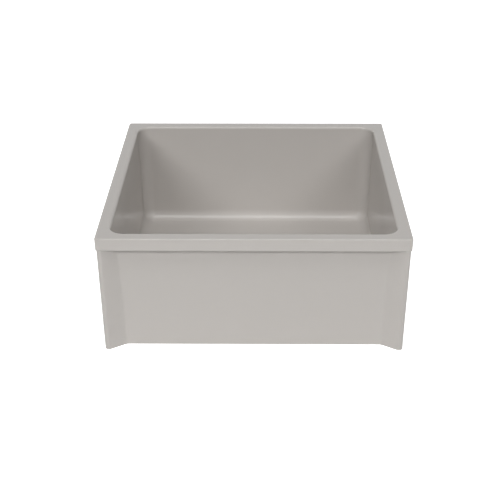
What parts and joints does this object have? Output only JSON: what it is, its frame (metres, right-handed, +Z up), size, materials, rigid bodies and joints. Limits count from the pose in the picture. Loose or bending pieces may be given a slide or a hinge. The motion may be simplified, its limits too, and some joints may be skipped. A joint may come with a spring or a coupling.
{
  "type": "mop sink",
  "caption": "Square floor-standing mop sink: coved tub, broad rim with a hanging lip, recessed side panels between faceted corner posts, and a low drain with a lift-out dome strainer.",
  "frame": {"origin": "centre of the basin's footprint, on the ground that the basin stands on", "axes": "+Z up, -Y towards the front that the picture shows, +X to the right as seen from the front"},
  "size_m": [0.6096, 0.6096, 0.254],
  "materials": {
    "gelcoat": "smooth moulded fibreglass, glossy",
    "drain_steel": "satin",
    "strainer_steel": "polished",
    "fastener_steel": "turned",
    "seal_rubber": "matte"
  },
  "bodies": {
    "basin": {"basin": "gelcoat", "flange_gasket": "seal_rubber", "drain_body": "drain_steel", "flange_screws": "fastener_steel", "pipe_seal": "seal_rubber", "clamp_ring": "drain_steel"},
    "strainer": {"dome_strainer": "strainer_steel", "lint_screen": "strainer_steel", "spacer_tube": "strainer_steel", "strainer_bolt": "fastener_steel", "cap_nut": "fastener_steel"}
  },
  "joints": [
    {"name": "strainer_lift", "type": "slide", "parent": "basin", "child": "strainer", "axis": [0, 0, 1], "range_m": [0, 0.26]}
  ]
}
